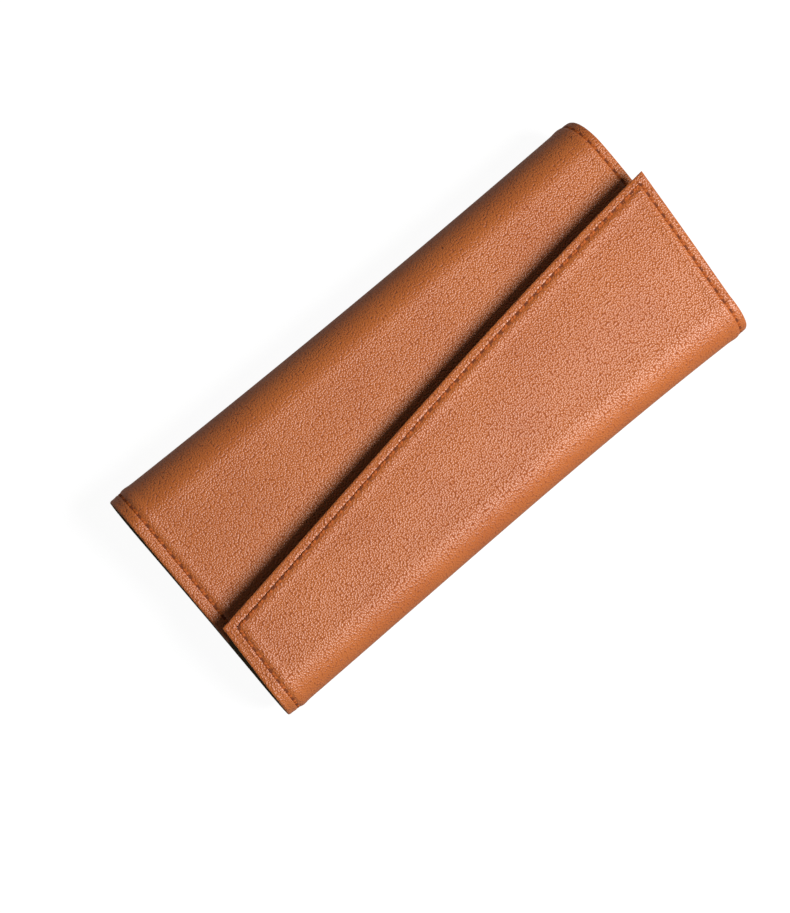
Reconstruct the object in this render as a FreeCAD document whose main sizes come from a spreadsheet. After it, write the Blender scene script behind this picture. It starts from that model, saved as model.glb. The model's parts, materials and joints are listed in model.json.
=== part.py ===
"""Pedicure set: five knives in a leather case that folds in three.

Frame: X runs along the folds, the cover's fold is at +Y, the flap's fold is at -Y, +Z is up.
The origin is the middle of the back panel's outer face, which lies on the table. Millimetres.
"""
import FreeCAD, Part
import os
import Sketcher

V = FreeCAD.Vector
doc = FreeCAD.newDocument("pedicure_set")

# Driving sizes: name, value, what it measures
SIZES = [
    ("case_length", 185, "length of the case along its folds"),
    ("case_width", 88, "width of the closed case over both folds"),
    ("cover_fold_radius", 12.5, "outer radius of the fold between back and cover"),
    ("panel_pitch", 9, "slope of the closed cover and flap, degrees, rising to +Y"),
    ("flap_standoff", 5.5, "clear height of the closed flap over the cover"),
    ("leather_thick", 1.2, "outer leather"),
    ("board_thick", 1.0, "stiffener board between leather and lining"),
    ("lining_thick", 0.8, "lining"),
    ("glue_line", 0.05, "space between leather and lining round a fold"),
    ("fold_strips", 5, "strips that each fold bends in"),
    ("strip_gap", 0.3, "gap between two strips at the outer face"),
    ("cover_reach", 44, "cover from its fold to its free edge"),
    ("flap_overlap_short", 3.8, "flap past the cover's free edge, -X end"),
    ("flap_overlap_long", 29.0, "flap past the cover's free edge, +X end"),
    ("flap_end_lean", 2.9, "lean of the flap's two ends towards +X, degrees"),
    ("seam_inset", 5.0, "board's edge in from a sewn edge"),
    ("fold_inset", 2.0, "board's edge in from a fold"),
    ("board_clearance", 0.2, "room round a board in its lining"),
    ("magnet_radius", 5.0, "closing magnet"),
    ("magnet_clearance", 0.1, "room round a magnet in its board"),
    ("magnet_from_end", 34.5, "magnets' middle in from the +X end of the case"),
    ("magnet_from_edge", 11.5, "magnets' middle in from the cover's free edge"),
    ("knife_count", 5, "knives side by side"),
    ("knife_pitch", 11.8, "spacing of the knives across the case"),
    ("knife_front", -30, "place along the case of a handle's front end"),
    ("knife_lift", 0.25, "air between a handle and the lining"),
    ("handle_length", 96, "handle"),
    ("handle_radius", 4.3, "handle at its belly"),
    ("shoulder_radius", 3.9, "handle and ferrule where they meet"),
    ("butt_radius", 3.6, "handle at its butt"),
    ("belly_from_butt", 50, "belly's place from the butt"),
    ("butt_round", 3.0, "rounding of the butt"),
    ("neck_radius", 3.2, "handle inside the ferrule"),
    ("neck_length", 7, "handle inside the ferrule"),
    ("fit_clearance", 0.05, "radial clearance of ferrule and tang"),
    ("ferrule_cap", 2.0, "ferrule's front wall"),
    ("ferrule_nose", 3.0, "radius of the ferrule's front face"),
    ("tang_radius", 1.6, "tang in the handle"),
    ("tang_length", 26, "tang in the handle"),
    ("shank_radius", 2.2, "round shank of a blade"),
    ("shank_length", 6, "round part of the shank"),
    ("shank_taper", 8, "stretch where the shank runs out into the blade"),
    ("blade_length", 48, "blade in front of the ferrule"),
    ("blade_thick", 1.4, "blade"),
    ("blade_root", 1.9, "half width of a blade at its shank"),
    ("blade_waist", 2.1, "half width of a broad blade at its waist"),
    ("waist_place", 22, "waist of a broad blade from the ferrule"),
    ("flare_length", 11, "stretch in which a broad blade widens"),
    ("broad_half", 4.3, "half width of the broad chisel"),
    ("skew_half", 3.8, "half width of the skew"),
    ("skew_slant", 7.5, "set-back of the skew's short corner"),
    ("narrow_half", 2.2, "half width of the narrow chisel"),
    ("point_half", 2.4, "half width of the point knife at its widest"),
    ("point_tip", 0.6, "half width of the point knife's tip"),
    ("scraper_neck", 1.5, "half width of the scraper's stem"),
    ("scraper_radius", 3.6, "round end of the scraper"),
    ("dish_radius", 7, "radius of the hollow in the scraper"),
    ("dish_depth", 0.8, "depth of the hollow in the scraper"),
    ("edge_land", 0.3, "thickness left at a cutting edge"),
    ("edge_bevel", 5, "length of a chisel's bevel"),
    ("band_thick", 0.8, "leather of loop band and tip pocket"),
    ("loop_clearance", 0.25, "room round a handle in its loop"),
    ("band_width", 24, "loop band along the case"),
    ("band_place", 30, "middle of the loop band along the case"),
    ("band_end_foot", 1.3, "sewn foot at each end of the loop band"),
    ("pocket_length", 30, "tip pocket along the case"),
    ("pocket_margin", 5.5, "tip pocket's closed end from the end of the case"),
    ("pocket_height", 6.6, "room inside the tip pocket"),
    ("pocket_side", 0.4, "room beside the outer blades in the tip pocket"),
    ("pocket_splay", 1.0, "spread of the tip pocket's side walls at their feet"),
]

# Sizes that follow from the driving ones
WORKED = [
    ("panel_thick", "size.leather_thick + size.board_thick + size.lining_thick"),
    ("cover_fold_y", "size.case_width / 2 - size.cover_fold_radius"),
    ("cover_tangent_y", "fit.cover_fold_y - size.cover_fold_radius * sin(size.panel_pitch)"),
    ("cover_tangent_z", "size.cover_fold_radius * (1 + cos(size.panel_pitch))"),
    ("cover_plane", "fit.cover_tangent_z * cos(size.panel_pitch)"
                    " - fit.cover_tangent_y * sin(size.panel_pitch)"),
    ("flap_plane", "fit.cover_plane + size.flap_standoff + fit.panel_thick"),
    ("flap_fold_radius", "(fit.flap_plane - size.case_width / 2 * sin(size.panel_pitch))"
                         " / (1 + cos(size.panel_pitch) - sin(size.panel_pitch))"),
    ("flap_fold_y", "fit.flap_fold_radius - size.case_width / 2"),
    ("flap_tangent_y", "fit.flap_fold_y - fit.flap_fold_radius * sin(size.panel_pitch)"),
    ("flap_tangent_z", "fit.flap_fold_radius * (1 + cos(size.panel_pitch))"),
    ("cover_strip_turn", "(180 + size.panel_pitch) / size.fold_strips"),
    ("flap_strip_turn", "(180 - size.panel_pitch) / size.fold_strips"),
    ("fold_to_fold", "(fit.cover_tangent_y - fit.flap_tangent_y) * cos(size.panel_pitch)"
                     " + (fit.cover_tangent_z - fit.flap_tangent_z) * sin(size.panel_pitch)"),
    ("flap_reach_short", "fit.fold_to_fold - size.cover_reach + size.flap_overlap_short"),
    ("flap_reach_long", "fit.fold_to_fold - size.cover_reach + size.flap_overlap_long"),
    ("flap_lean", "tan(size.flap_end_lean)"),
    ("flap_slant", "(fit.flap_reach_long - fit.flap_reach_short) / (size.case_length"
                   " + (fit.flap_reach_long - fit.flap_reach_short) * fit.flap_lean)"),
    ("magnet_along", "size.case_length / 2 - size.magnet_from_end"),
    ("magnet_cover_y", "size.cover_reach - size.magnet_from_edge"),
    ("magnet_flap_y", "fit.magnet_cover_y - fit.fold_to_fold"),
    ("knife_axis_z", "fit.panel_thick + size.knife_lift + size.handle_radius"),
    ("loop_radius", "size.handle_radius + size.loop_clearance"),
    ("arch_radius", "fit.loop_radius + size.band_thick"),
    ("row_half", "(size.knife_count - 1) / 2 * size.knife_pitch + fit.arch_radius"),
    ("blade_row_half", "(size.knife_count - 1) / 2 * size.knife_pitch + size.broad_half"),
    ("tip", "-size.ferrule_cap - size.blade_length"),
    ("waist", "-size.ferrule_cap - size.waist_place"),
    ("flare_end", "fit.waist - size.flare_length"),
    ("shank_end", "-size.ferrule_cap - size.shank_length"),
    ("shank_run_out", "fit.shank_end - size.shank_taper"),
]


def write_sheet(name, rows, as_formula):
    sheet = doc.addObject("Spreadsheet::Sheet", name)
    for row, entry in enumerate(rows, start=1):
        alias, value = entry[0], entry[1]
        sheet.set(f"A{row}", alias)
        sheet.setAlias(f"B{row}", alias)
        sheet.set(f"B{row}", f"={value}" if as_formula else str(value))
    return sheet


size = write_sheet("size", SIZES, as_formula=False)
fit = write_sheet("fit", WORKED, as_formula=True)
doc.recompute()
sub_parts = []


def bind(thing, **expressions):
    """Tie properties of an object to the sheets. A double underscore stands for a dot."""
    for prop, formula in expressions.items():
        thing.setExpression(prop.replace("__", "."), formula)


def new_body(label):
    body = doc.addObject("PartDesign::Body", label)
    body.Label = label
    sub_parts.append(body)
    return body


def on_slope(body, tangent_y, tangent_z):
    """Lay a body on a closed panel: local +Y runs down the slope, local +Z points inwards."""
    body.Placement = FreeCAD.Placement(V(), FreeCAD.Rotation(V(1, 0, 0), 180 + size.panel_pitch))
    bind(body, Placement__Rotation__Angle="180 + size.panel_pitch",
         Placement__Base__y=tangent_y, Placement__Base__z=tangent_z)


def new_sketch(body, name, plane="XY_Plane", height=None):
    """A sketch on one of the body's own planes, raised along its normal by a formula."""
    sketch = body.newObject("Sketcher::SketchObject", name)
    support = [f for f in body.Origin.OriginFeatures if f.Role == plane][0]
    sketch.AttachmentSupport = [(support, "")]
    sketch.MapMode = "FlatFace"
    if height:
        bind(sketch, AttachmentOffset__Base__z=height)
    return sketch


def pin(sketch, geometry, point, x, y):
    """Hold a sketch point at a place given by two formulas."""
    for kind, formula in (("DistanceX", x), ("DistanceY", y)):
        value = sketch.evalExpression(formula)
        row = sketch.addConstraint(Sketcher.Constraint(kind, -1, 1, geometry, point, float(value)))
        sketch.setExpression(f"Constraints[{row}]", formula)


def polygon(sketch, corners, arcs=()):
    """A closed outline whose corners are pairs of formulas.

    Each entry of arcs is (side, (x, y)): that side is an arc which passes through the point.
    """
    def place(pair):
        return V(*(float(sketch.evalExpression(formula)) for formula in pair), 0)

    arcs = dict(arcs)
    count = len(corners)
    first, last = [1] * count, [2] * count
    for n in range(count):
        start, end = place(corners[n]), place(corners[(n + 1) % count])
        if n in arcs:
            middle = place(arcs[n])
            if (middle - start).cross(end - middle).z < 0:
                start, end = end, start
                first[n], last[n] = 2, 1
            sketch.addGeometry(Part.Arc(start, middle, end))
        else:
            sketch.addGeometry(Part.LineSegment(start, end))
    for n in range(count):
        after = (n + 1) % count
        sketch.addConstraint(Sketcher.Constraint("Coincident", n, last[n], after, first[after]))
    for n, (x, y) in enumerate(corners):
        pin(sketch, n, first[n], x, y)
    for side, pair in arcs.items():
        point = sketch.addGeometry(Part.Point(place(pair)), True)
        sketch.addConstraint(Sketcher.Constraint("PointOnObject", point, 1, side))
        pin(sketch, point, 1, *pair)
    return sketch


def circle(sketch, x, y, radius):
    centre = V(float(sketch.evalExpression(x)), float(sketch.evalExpression(y)), 0)
    value = float(sketch.evalExpression(radius))
    sketch.addGeometry(Part.Circle(centre, V(0, 0, 1), value))
    row = sketch.addConstraint(Sketcher.Constraint("Radius", 0, value))
    sketch.setExpression(f"Constraints[{row}]", radius)
    pin(sketch, 0, 3, x, y)
    return sketch


def arch(sketch, radius, axis, foot):
    """An upright arch: a half circle on two straight legs, standing on a line."""
    r, top, low = (float(sketch.evalExpression(f)) for f in (radius, axis, foot))
    sketch.addGeometry(Part.LineSegment(V(r, top, 0), V(r, low, 0)))
    sketch.addGeometry(Part.LineSegment(V(r, low, 0), V(-r, low, 0)))
    sketch.addGeometry(Part.LineSegment(V(-r, low, 0), V(-r, top, 0)))
    sketch.addGeometry(Part.Arc(V(r, top, 0), V(0, top + r, 0), V(-r, top, 0)))
    for before, after in ((0, 1), (1, 2)):
        sketch.addConstraint(Sketcher.Constraint("Coincident", before, 2, after, 1))
    sketch.addConstraint(Sketcher.Constraint("Coincident", 2, 2, 3, 2))
    sketch.addConstraint(Sketcher.Constraint("Coincident", 0, 1, 3, 1))
    pin(sketch, 0, 1, radius, axis)
    pin(sketch, 1, 1, radius, foot)
    pin(sketch, 2, 1, f"-({radius})", foot)
    pin(sketch, 2, 2, f"-({radius})", axis)
    row = sketch.addConstraint(Sketcher.Constraint("DistanceY", -1, 1, 3, 3, top))
    sketch.setExpression(f"Constraints[{row}]", axis)
    return sketch


def feature(body, kind, name, sketch, **settings):
    """A sketch feature. Text settings are formulas, the others plain values."""
    made = body.newObject(f"PartDesign::{kind}", name)
    made.Profile = sketch
    for prop, value in settings.items():
        if isinstance(value, str) and prop != "SideType":
            bind(made, **{prop: value})
        else:
            setattr(made, prop, value)
    doc.recompute()
    return made


def revolve(body, name, corners, arcs=()):
    """Turn an outline of (along X, radius) corners about the X axis."""
    sketch = polygon(new_sketch(body, name + "_profile"), corners, arcs)
    made = body.newObject("PartDesign::Revolution", name)
    made.Profile = sketch
    made.ReferenceAxis = (sketch, ["H_Axis"])
    made.Angle = 360
    doc.recompute()
    return made


# Panels of the case

def rectangle(near, far, ends="0", fold="0", free="0"):
    """Corners of a panel of the full case length, set in at its ends, its fold and its free edge."""
    half = f"(size.case_length / 2 - ({ends}))"
    low, high = f"({near}) + ({fold})", f"({far}) - ({free})"
    return [(f"-{half}", low), (half, low), (half, high), (f"-{half}", high)]


def flap_outline(ends="0", fold="0", free="0"):
    """Corners of the flap, whose free edge slants and whose ends lean. Local -Y is away from the fold."""
    half = f"(size.case_length / 2 - ({ends}))"
    slant_free = f"(({free}) * sqrt(1 + fit.flap_slant ^ 2))"

    def along_end(sign):
        """Reach of the set-in slanted edge on one set-in end."""
        at_fold = "(fit.flap_reach_short + fit.flap_slant * (size.case_length / 2" \
                  f" - fit.flap_reach_short * fit.flap_lean {sign} {half}))"
        return f"(({at_fold} - {slant_free}) / (1 - fit.flap_slant * fit.flap_lean))"

    left, right = along_end("-"), along_end("+")
    lean = "fit.flap_lean"
    return [
        (f"-{half} + ({fold}) * {lean}", f"-({fold})"),
        (f"-{half} + {left} * {lean}", f"-{left}"),
        (f"{half} + {right} * {lean}", f"-{right}"),
        (f"{half} + ({fold}) * {lean}", f"-({fold})"),
    ]


def panel(label, outline, place, seams, magnet=None):
    """Leather, board and lining of one panel, stacked inwards from the outer face.

    outline(ends=, fold=, free=) gives the corners set in by these formulas. seams names which of
    fold and free are sewn edges; the two ends always are.
    """
    def set_in(grow="0"):
        """The board's outline, grown by a formula, as insets from the panel's sides."""
        rim = {"ends": "size.seam_inset"}
        for side in ("fold", "free"):
            rim[side] = "size.seam_inset" if side in seams else "size.fold_inset"
        return outline(**{side: f"{inset} - ({grow})" for side, inset in rim.items()})

    def layer(body, name, corners, height="size.leather_thick"):
        return polygon(new_sketch(body, f"{label}_{name}_outline", height=height), corners)

    leather = new_body(f"{label}_leather")
    sheet = polygon(new_sketch(leather, f"{label}_leather_outline"), outline())
    feature(leather, "Pad", f"{label}_leather_sheet", sheet, Length="size.leather_thick")

    board = new_body(f"{label}_board")
    stiffener = layer(board, "board", set_in())
    feature(board, "Pad", f"{label}_board_sheet", stiffener, Length="size.board_thick")

    lining = new_body(f"{label}_lining")
    sheet = layer(lining, "lining", outline())
    feature(lining, "Pad", f"{label}_lining_sheet", sheet, Length="size.lining_thick")
    # The lining rises over the board in a slope of 45 degrees
    foot = set_in("size.board_clearance + size.lining_thick + size.board_thick")
    rise = layer(lining, "lining_rise", foot, "size.leather_thick + size.lining_thick")
    feature(lining, "Pad", f"{label}_lining_rise", rise, Length="size.board_thick", TaperAngle=-45)
    hollow = layer(lining, "lining_hollow", set_in("size.board_clearance"))
    feature(lining, "Pocket", f"{label}_lining_hollow", hollow, Length="size.board_thick",
            Reversed=True)

    if magnet:
        def spot(body, name, radius):
            sketch = new_sketch(body, f"{label}_magnet_{name}", height="size.leather_thick")
            return circle(sketch, "fit.magnet_along", magnet, radius)

        seat = spot(board, "seat", "size.magnet_radius + size.magnet_clearance")
        feature(board, "Pocket", f"{label}_magnet_hole", seat, Length="size.board_thick", Reversed=True)
        disc = new_body(f"{label}_magnet")
        feature(disc, "Pad", f"{label}_magnet_disc", spot(disc, "outline", "size.magnet_radius"),
                Length="size.board_thick")
        place(disc)
    for body in (leather, board, lining):
        place(body)


def back_outline(ends="0", fold="0", free="0"):
    return rectangle("fit.flap_fold_y", "fit.cover_fold_y", ends, fold, free)


def cover_outline(ends="0", fold="0", free="0"):
    return rectangle("0", "size.cover_reach", ends, fold, free)


panel("back", back_outline, place=lambda body: None, seams=())
panel("cover", cover_outline, seams=("free",), magnet="fit.magnet_cover_y",
      place=lambda body: on_slope(body, "fit.cover_tangent_y", "fit.cover_tangent_z"))
panel("flap", flap_outline, seams=("free",), magnet="fit.magnet_flap_y",
      place=lambda body: on_slope(body, "fit.flap_tangent_y", "fit.flap_tangent_z"))


# Folds: curved strips that turn on each other at the outer face

def fold_strip(label, ply, number, centre_y, radius, turn, side, outer, inner):
    """One strip of one ply: a sector of a tube about the fold's axis, counted from straight down."""
    gap = f"(size.strip_gap / ({radius}) * 180 / pi)"
    start = f"{number - 1} * {turn}" if side > 0 else f"-{number} * {turn}"
    sector = doc.addObject("Part::Cylinder", f"{label}_{ply}_{number}_sector")
    bind(sector, Radius=outer, Height="size.case_length", Angle=f"{turn} - {gap}")
    sector.Placement = FreeCAD.Placement(V(), FreeCAD.Rotation(V(0, 0, 1), 10))
    bind(sector, Placement__Rotation__Angle=f"{start} + {gap} / 2")
    core = doc.addObject("Part::Cylinder", f"{label}_{ply}_{number}_core")
    bind(core, Radius=inner, Height="size.case_length")
    strip = doc.addObject("Part::Cut", f"{label}_{ply}_{number}")
    strip.Base, strip.Tool = sector, core
    strip.Label = strip.Name
    strip.Placement = FreeCAD.Placement(V(), FreeCAD.Rotation(V(0, 1, 0), 90))
    bind(strip, Placement__Base__x="-size.case_length / 2", Placement__Base__y=centre_y,
         Placement__Base__z=radius)
    sub_parts.append(strip)


for label, centre_y, radius, turn, side in (
    ("cover_fold", "fit.cover_fold_y", "size.cover_fold_radius", "fit.cover_strip_turn", 1),
    ("flap_fold", "fit.flap_fold_y", "fit.flap_fold_radius", "fit.flap_strip_turn", -1),
):
    leather_in = f"{radius} - size.leather_thick"
    lining_out = f"{leather_in} - size.glue_line"
    for number in range(1, int(size.fold_strips) + 1):
        fold_strip(label, "leather", number, centre_y, radius, turn, side, radius, leather_in)
        fold_strip(label, "lining", number, centre_y, radius, turn, side,
                   lining_out, f"{radius} - size.leather_thick - size.lining_thick")


# Loop band and tip pocket, sewn on the back lining

def loop_band():
    band = new_body("loop_band")
    half = "(fit.row_half + size.band_end_foot)"
    low, high = "fit.panel_thick", "fit.panel_thick + size.band_thick"
    start = "size.band_place - size.band_width / 2"
    foot = new_sketch(band, "band_foot_section", "YZ_Plane", start)
    polygon(foot, [(f"-{half}", low), (half, low), (half, high), (f"-{half}", high)])
    feature(band, "Pad", "band_foot", foot, Length="size.band_width")
    side = "-(size.knife_count - 1) / 2 * size.knife_pitch"
    outside = arch(new_sketch(band, "arch_section", "YZ_Plane", start),
                   "fit.arch_radius", "fit.knife_axis_z", low)
    inside = arch(new_sketch(band, "loop_section", "YZ_Plane", start),
                  "fit.loop_radius", "fit.knife_axis_z", "fit.panel_thick")
    for sketch in (outside, inside):
        bind(sketch, AttachmentOffset__Base__x=side)
    hump = feature(band, "Pad", "arch", outside, Length="size.band_width")
    loop = feature(band, "Pocket", "loop", inside, Length="size.band_width", Reversed=True)
    row = band.newObject("PartDesign::LinearPattern", "loop_row")
    row.Originals = [hump, loop]
    axis = [f for f in band.Origin.OriginFeatures if f.Role == "Y_Axis"][0]
    row.Direction = (axis, [""])
    bind(row, Length="(size.knife_count - 1) * size.knife_pitch", Occurrences="size.knife_count")
    band.Tip = row
    doc.recompute()


def tip_pocket():
    pocket = new_body("tip_pocket")
    start = "-size.case_length / 2 + size.pocket_margin"
    low, high = "fit.panel_thick", "fit.panel_thick + size.pocket_height"

    def section(name, grow, raise_by, place):
        roof = f"(fit.blade_row_half + size.pocket_side + {grow})"
        foot = f"({roof} + size.pocket_splay)"
        top = f"{high} + {raise_by}"
        sketch = new_sketch(pocket, name, "YZ_Plane", place)
        return polygon(sketch, [(f"-{foot}", low), (foot, low), (roof, top), (f"-{roof}", top)])

    shell = section("pocket_shell_section", "size.band_thick", "size.band_thick", start)
    feature(pocket, "Pad", "pocket_shell", shell, Length="size.pocket_length")
    room = section("pocket_room_section", "0", "0", f"{start} + size.band_thick")
    feature(pocket, "Pocket", "pocket_room", room, Reversed=True,
            Length="size.pocket_length - size.band_thick")


loop_band()
tip_pocket()


# Knives. Local X runs from the tip to the butt, with zero at the handle's front end

def place_knife(body, number):
    bind(body, Placement__Base__x="size.knife_front",
         Placement__Base__y=f"({number} - (size.knife_count + 1) / 2) * size.knife_pitch",
         Placement__Base__z="fit.knife_axis_z")


NEAR = 0.01  # how close a point has to be to count as being there


def edges_at(shape, test):
    """Names of the edges whose two ends pass a test."""
    found = []
    for number, edge in enumerate(shape.Edges, start=1):
        if all(test(vertex.Point) for vertex in edge.Vertexes):
            found.append(f"Edge{number}")
    return found


def handle(label):
    body = new_body(f"{label}_handle")
    bore = "(size.tang_radius + size.fit_clearance)"
    belly = "(size.handle_length - size.belly_from_butt)"
    depth = "(size.tang_length + size.fit_clearance)"
    turned = revolve(body, f"{label}_handle_turning", [
        ("0", bore), ("0", "size.neck_radius"), ("size.neck_length", "size.neck_radius"),
        ("size.neck_length", "size.shoulder_radius"), ("size.handle_length", "size.butt_radius"),
        ("size.handle_length", "0"), (depth, "0"), (depth, bore)],
        arcs=[(3, (belly, "size.handle_radius"))])
    butt = edges_at(turned.Shape, lambda p: abs(p.x - size.handle_length) < NEAR)
    made = body.newObject("PartDesign::Fillet", f"{label}_butt_round")
    made.Base = (turned, [e for e in butt if turned.Shape.getElement(e).Closed])
    bind(made, Radius="size.butt_round")
    doc.recompute()
    return body


def ferrule(label):
    body = new_body(f"{label}_ferrule")
    hole = "(size.tang_radius + size.fit_clearance)"
    bore = "(size.neck_radius + size.fit_clearance)"
    nose = "(size.shoulder_radius - size.ferrule_nose)"
    revolve(body, f"{label}_ferrule_turning", [
        ("-size.ferrule_cap", hole), ("-size.ferrule_cap", "size.ferrule_nose"),
        (f"-size.ferrule_cap + {nose}", "size.shoulder_radius"),
        ("size.neck_length", "size.shoulder_radius"), ("size.neck_length", bore),
        ("0", bore), ("0", hole)])
    return body


def mirrored(half):
    """A closed outline from one side's corners, tip last, mirrored in the blade's long axis."""
    return half + [(x, f"-({y})") for x, y in reversed(half)]


ROOT = ("fit.shank_end", "size.blade_root")
WAIST = ("fit.waist", "size.blade_waist")


def flared(half):
    """A blade that widens from its waist to a straight-sided end."""
    return mirrored([ROOT, WAIST, ("fit.flare_end", half), ("fit.tip", half)])


def straight(waist_half, tip_half, end="fit.tip"):
    """A blade with even sides from its waist to its end."""
    return mirrored([ROOT, ("fit.waist", waist_half), (end, tip_half)])


BLADES = {
    "broad_knife": flared("size.broad_half"),
    "skew_knife": flared("size.skew_half"),
    "narrow_knife": straight("size.narrow_half", "size.narrow_half"),
    "scraper": straight("size.scraper_neck", "size.scraper_neck", "fit.tip + size.scraper_radius"),
    "point_knife": straight("size.point_half", "size.point_tip"),
}
# The skew's far corner is set back
BLADES["skew_knife"][4] = ("fit.tip + size.skew_slant", "-size.skew_half")


def bevel(body, name, base, edges, length):
    """Grind the upper face away to a thin edge."""
    made = body.newObject("PartDesign::Chamfer", name)
    made.Base = (base, edges)
    made.ChamferType = "Two distances"
    upper = base.Shape.getElement(edges[0])
    faces = [f for f in base.Shape.Faces if any(e.isSame(upper) for e in f.Edges)]
    # The first distance is measured on the first of the two faces that share the edge
    made.FlipDirection = abs(faces[0].normalAt(0, 0).z) > 0.9
    bind(made, Size="size.blade_thick - size.edge_land", Size2=length)
    doc.recompute()
    return made


def blade(label, outline):
    body = new_body(f"{label}_blade")
    shoulder = "-size.ferrule_cap - size.fit_clearance"
    revolve(body, f"{label}_tang", [
        ("size.tang_length", "0"), ("size.tang_length", "size.tang_radius"),
        (shoulder, "size.tang_radius"), (shoulder, "size.shank_radius"),
        ("fit.shank_end", "size.shank_radius"), ("fit.shank_run_out", "size.blade_thick / 2"),
        ("fit.shank_run_out", "0")])
    sketch = polygon(new_sketch(body, f"{label}_outline"), outline)
    flat = feature(body, "Pad", f"{label}_flat", sketch, Length="size.blade_thick", SideType="Symmetric")
    upper = float(size.blade_thick) / 2
    tip = float(fit.tip)
    if label == "scraper":
        end = circle(new_sketch(body, "scraper_end_outline"), "fit.tip + size.scraper_radius", "0",
                     "size.scraper_radius")
        feature(body, "Pad", "scraper_end", end, Length="size.blade_thick", SideType="Symmetric")
        dish = body.newObject("PartDesign::SubtractiveSphere", "scraper_dish")
        bind(dish, Radius="size.dish_radius", Placement__Base__x="fit.tip + size.scraper_radius",
             Placement__Base__z="size.dish_radius + size.blade_thick / 2 - size.dish_depth")
        doc.recompute()
    else:
        reach = tip + (float(size.skew_slant) if label == "skew_knife" else 0.0)
        at_tip = edges_at(flat.Shape, lambda p: abs(p.z - upper) < NEAR and p.x < reach + NEAR)
        cutting = [e for e in at_tip if abs(flat.Shape.getElement(e).tangentAt(0).y) > 0.5]
        bevel(body, f"{label}_bevel", flat, cutting, "size.edge_bevel")
    return body


for number, (label, outline) in enumerate(BLADES.items(), start=1):
    for piece in (handle(label), ferrule(label), blade(label, outline)):
        place_knife(piece, number)

doc.recompute()
for thing in doc.Objects:
    if "Invalid" in thing.State or "Error" in thing.State:
        raise RuntimeError(f"{thing.Name} failed: {thing.State}")
for part in sub_parts:
    if part.Shape.isNull() or not part.Shape.isValid():
        raise RuntimeError(f"{part.Label} has no valid shape")

os.makedirs("parts", exist_ok=True)
for part in sub_parts:
    part.Shape.exportStep(f"parts/{part.Label}.step")
    print(f"{part.Label}: {len(part.Shape.Solids)} solid, {part.Shape.Volume:.1f} mm3")
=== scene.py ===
# %% [markdown]
# # A pedicure set in a folding leather case
#
# The case is one tan sheet of grained imitation leather with a khaki lining, folded in three round five
# small knives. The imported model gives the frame: where the panels lie, where the folds bend and how the
# knives slide. Here every soft piece is dressed as leather, lining and thread, and the knives get wood,
# brass and steel.

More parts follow.
